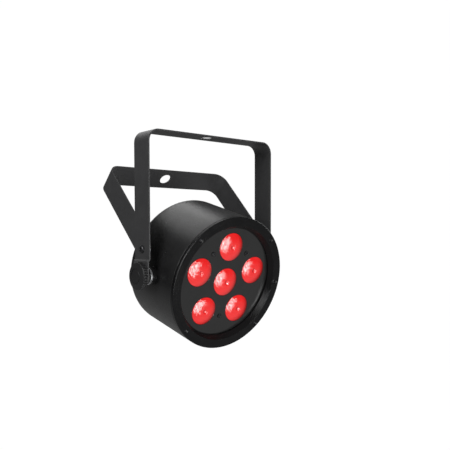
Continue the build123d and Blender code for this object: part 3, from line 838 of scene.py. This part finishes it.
out_loops = [circle(0, 0, 8.2, 72)]
out_loops += [circle(x, y, 1.4, 24) for x, y in ((4.24, 2.45), (-4.24, 2.45), (0, -4.9))]
out_corners = [(0, -37.2, 0), (8.2, -37.2, 0.2), (8.2, -33.0, 0.1)]
out_corners += [(9.9, -33.0, 0.2), (9.9, -31.0, 0.2), (0, -31.0, 0)]
out_parts = [
    (plate("front", out_loops, 12.0, 0.4), head_at(*DMX_OUT, -43.0)),
    (lathe("back", rounded(out_corners, 3), 72), head_at(*DMX_OUT)),
]
finish_piece("data_out_face", joined("data_out_face", out_parts), "head", "dmx_out_insert", "socket_black")
in_corners = [(0, -35.0, 0), (9.3, -35.0, 0.3), (9.3, -31.0, 0.3), (0, -31.0, 0)]
in_face = lathe("data_in_face", rounded(in_corners, 3), 72)
finish_piece("data_in_face", in_face, "head", "dmx_in_insert", "socket_black", head_at(*DMX_IN))
pin = lathe("pin", rounded([(0, 12.0, 0), (1.2, 12.0, 0.8), (1.2, 0, 0), (0, 0, 0)], 5), 24)
pin_places = [back_at(x, y, -35.0) for x, y in on_circle(4.9, (30, 150, 270), *DMX_IN)]
many("data_in_contacts", pin, pin_places, "head", "dmx_in_pins", "gold_pin")


def power_shell(name, spot, node):
    """Power socket's body: flange, a low collar in front and a cup closed at the back."""
    bore = 10.2
    flange = plate("flange", [box_loop(0, 0, 26, 27, 3.0), circle(0, 0, bore, 72)], 2.0, 0.35)
    corners = [
        (bore, 1.0, 0),
        (bore, -1.4, 0.3),
        (10.9, -1.4, 0.3),
        (11.2, 0.3, 0),
        (BARREL_R, 0.3, 0.1),
        (BARREL_R, BARREL_END, 0.3),
        (0, BARREL_END, 0),
        (0, 15.6, 0),
        (bore, 15.6, 0.3),
        (bore, 1.05, 0),
    ]
    cup = lathe("cup", rounded(corners, 3), 72)
    parts = [(flange, head_at(*spot, PANEL_BACK - 1.0)), (cup, head_at(*spot, PANEL_BACK))]
    finish_piece(name, joined(name, parts), "head", node, "socket_black")


def power_core(name, spot, node, slot):
    """Centre post of the socket with a bore, and two contact blades above and below it."""
    corners = [(2.4, 6.0, 0), (2.4, 0, 0), (4.6, 0, 0.2), (4.6, 15.0, 0.6), (2.4, 15.0, 0.4), (2.4, 6.05, 0)]
    parts = [(lathe("post", rounded(corners, 3), 48, closed=True), back_at(*spot, -33.0))]
    for y in (7.4, -7.4):
        blade = plate("blade", [box_loop(0, 0, 4.4, 1.2, 0.3)], 13.0, 0.2)
        parts.append((blade, head_at(spot[0], spot[1] + y, -39.5)))
    finish_piece(name, joined(name, parts), "head", node, slot)


power_shell("power_in_body", POWER_IN, "power_in_shell")
power_shell("power_out_body", POWER_OUT, "power_out_shell")
power_core("power_in_post", POWER_IN, "power_in_core", "socket_blue")
power_core("power_out_post", POWER_OUT, "power_out_core", "socket_grey")


def loop_mesh():
    """Safety loop: round wire up, over and down, with a small flared foot at each end."""
    half, leg, wire_r, flare, around = 7.0, 5.0, 1.8, (1.25, 1.08), 24
    line = [(-half, z) for z in np.linspace(0.0, leg, 6)]
    bends = np.linspace(0, math.pi, 33)[1:-1]
    line += [(-half * math.cos(a), leg + half * math.sin(a)) for a in bends]
    line += [(half, z) for z in np.linspace(leg, 0.0, 6)]
    bm = bmesh.new()
    rings = []
    across = Vector((0, 1, 0))
    for i, (x, z) in enumerate(line):
        a, b = line[max(i - 1, 0)], line[min(i + 1, len(line) - 1)]
        side = across.cross(Vector((b[0] - a[0], 0, b[1] - a[1])).normalized())
        end = min(i, len(line) - 1 - i)
        r = wire_r * (1.0 if end > 1 else flare[end])
        turns = np.linspace(0, 2 * math.pi, around, endpoint=False)
        spots = [Vector((x, 0, z)) + (side * math.cos(q) + across * math.sin(q)) * r for q in turns]
        rings.append([bm.verts.new(spot * MM) for spot in spots])
    for low, high in zip(rings, rings[1:]):
        for k in range(around):
            n = (k + 1) % around
            bm.faces.new((low[k], low[n], high[n], high[k]))
    bm.faces.new(rings[0])
    bm.faces.new(list(reversed(rings[-1])))
    bmesh.ops.recalc_face_normals(bm, faces=bm.faces)
    mesh = bpy.data.meshes.new("loop")
    bm.to_mesh(mesh)
    bm.free()
    return mesh


finish_piece("wire_loop", loop_mesh(), "head", "safety_loop", "zinc", back_at(0, 55, PANEL_BACK))

# ---------------------------------------------------------------- parts carried over
slot_of = {row["node"]: row["material_slot"] for row in frame["record"]["subparts"]}
for node, obj in frame["nodes"].items():
    obj.data.materials.clear()
    obj.data.materials.append(MATS[slot_of[node]])
    obj.data.shade_smooth()
    obj.data.set_sharp_from_angle(angle=math.radians(30))


# ---------------------------------------------------------------- floor, light, camera
def pale_finish():
    """Even white that no lamp's place changes."""
    mat = bpy.data.materials.new("studio_white")
    mat.use_nodes = True
    bsdf = mat.node_tree.nodes["Principled BSDF"]
    bsdf.inputs["Base Color"].default_value = (0.1, 0.1, 0.1, 1)
    bsdf.inputs["Roughness"].default_value = 1.0
    bsdf.inputs["Specular IOR Level"].default_value = 0.0
    bsdf.inputs["Emission Color"].default_value = (1, 1, 1, 1)
    bsdf.inputs["Emission Strength"].default_value = 0.98
    return mat


def studio():
    """Pale floor that runs up into a plain round wall, well clear of the hanging light on every side."""
    floor_z, wall_r, wall_z, cove = cad_low.z - 0.9, 3.2, 1.6, 0.9
    bends = np.linspace(0, math.pi / 2, 16)[1:]
    inner = wall_r - cove
    profile = [(0.0, floor_z), (inner, floor_z)]
    profile += [(inner + cove * math.sin(a), floor_z + cove - cove * math.cos(a)) for a in bends]
    profile += [(wall_r, wall_z)]
    profile += [(inner + cove * math.cos(a), wall_z + cove * math.sin(a)) for a in bends]
    profile += [(0.0, wall_z + cove)]
    mesh = lathe("studio_floor", [(r / MM, z / MM) for r, z in profile], 96)
    mesh.shade_smooth()
    mesh.materials.append(pale_finish())
    obj = bpy.data.objects.new("studio_floor", mesh)
    bpy.context.scene.collection.objects.link(obj)
    obj.visible_diffuse = obj.visible_glossy = obj.visible_shadow = False


def softbox(name, place, target, size, radiance):
    """Rectangular soft light of an even brightness, aimed at a spot."""
    data = bpy.data.lights.new(name, "AREA")
    data.shape = "RECTANGLE"
    data.size, data.size_y = size
    data.energy = radiance * math.pi * size[0] * size[1]
    obj = bpy.data.objects.new(name, data)
    obj.location = place
    obj.rotation_euler = (Vector(target) - Vector(place)).to_track_quat("-Z", "Y").to_euler()
    obj.visible_camera = False
    bpy.context.scene.collection.objects.link(obj)


def sky():
    """Dim surroundings: a soft pale floor below, near dark at eye level, a little light above."""
    world = bpy.data.worlds.new("studio")
    world.use_nodes = True
    nodes, links = world.node_tree.nodes, world.node_tree.links
    coord = nodes.new("ShaderNodeTexCoord")
    split = nodes.new("ShaderNodeSeparateXYZ")
    ramp = nodes.new("ShaderNodeValToRGB")
    half = nodes.new("ShaderNodeMapRange")
    half.inputs["From Min"].default_value = -1.0
    links.new(coord.outputs["Generated"], split.inputs["Vector"])
    links.new(split.outputs["Z"], half.inputs["Value"])
    links.new(half.outputs["Result"], ramp.inputs["Fac"])
    stops = ramp.color_ramp.elements
    stops[0].position, stops[0].color = 0.0, (0.36, 0.36, 0.36, 1)
    stops[1].position, stops[1].color = 1.0, (0.30, 0.30, 0.30, 1)
    for place, level in ((0.33, 0.26), (0.46, 0.05), (0.56, 0.05), (0.75, 0.14)):
        stops.new(place).color = (level, level, level, 1)
    links.new(ramp.outputs["Color"], nodes["Background"].inputs["Color"])
    nodes["Background"].inputs["Strength"].default_value = 1.0
    bpy.context.scene.world = world


middle = Vector((0, 0, -0.13))
studio()
softbox("front", PIVOT + Vector((0.08, -1.28, -0.34)), PIVOT, (0.46, 0.46), 23)
softbox("left", middle + Vector((-1.35, -0.3, 0.6)), middle, (0.8, 1.0), 8)
softbox("overhead", middle + Vector((0.16, 1.00, 0.97)), middle, (1.0, 0.8), 1.7)
softbox("right", middle + Vector((1.40, 0.05, 0.45)), middle, (0.6, 1.0), 5)
sky()

# Viewpoint, with the hinge line's middle standing this far right of, below and ahead of the eye, in metres
TURN, PITCH, ROLL = -40.38, 2.984, -0.132
HINGE_IN_VIEW = Vector((-0.02211, -0.02585, 0.7206))
LENS_MM, SENSOR_MM, SHIFT = 50.9, 36.0, (-0.0041, 0.1019)


def viewpoint():
    """Camera turned to one side of the light and a little above it, as in the picture."""
    turn = Matrix.Rotation(math.radians(TURN), 3, "Y")
    pitch = Matrix.Rotation(math.radians(PITCH), 3, "X")
    roll = Matrix.Rotation(math.radians(ROLL), 3, "Z")
    down_and_ahead = Matrix(((1, 0, 0), (0, 0, -1), (0, 1, 0)))
    up_and_back = Matrix(((1, 0, 0), (0, -1, 0), (0, 0, -1)))
    to_view = roll @ pitch @ turn @ down_and_ahead
    eye = HINGE - to_view.transposed() @ HINGE_IN_VIEW
    data = bpy.data.cameras.new("camera")
    data.sensor_width = SENSOR_MM
    data.lens = LENS_MM
    data.shift_x, data.shift_y = SHIFT
    data.clip_start = 0.01
    camera = bpy.data.objects.new("camera", data)
    camera.matrix_world = Matrix.Translation(eye) @ (up_and_back @ to_view).transposed().to_4x4()
    bpy.context.scene.collection.objects.link(camera)
    bpy.context.scene.camera = camera


viewpoint()
bpy.context.scene.view_settings.view_transform = "Standard"
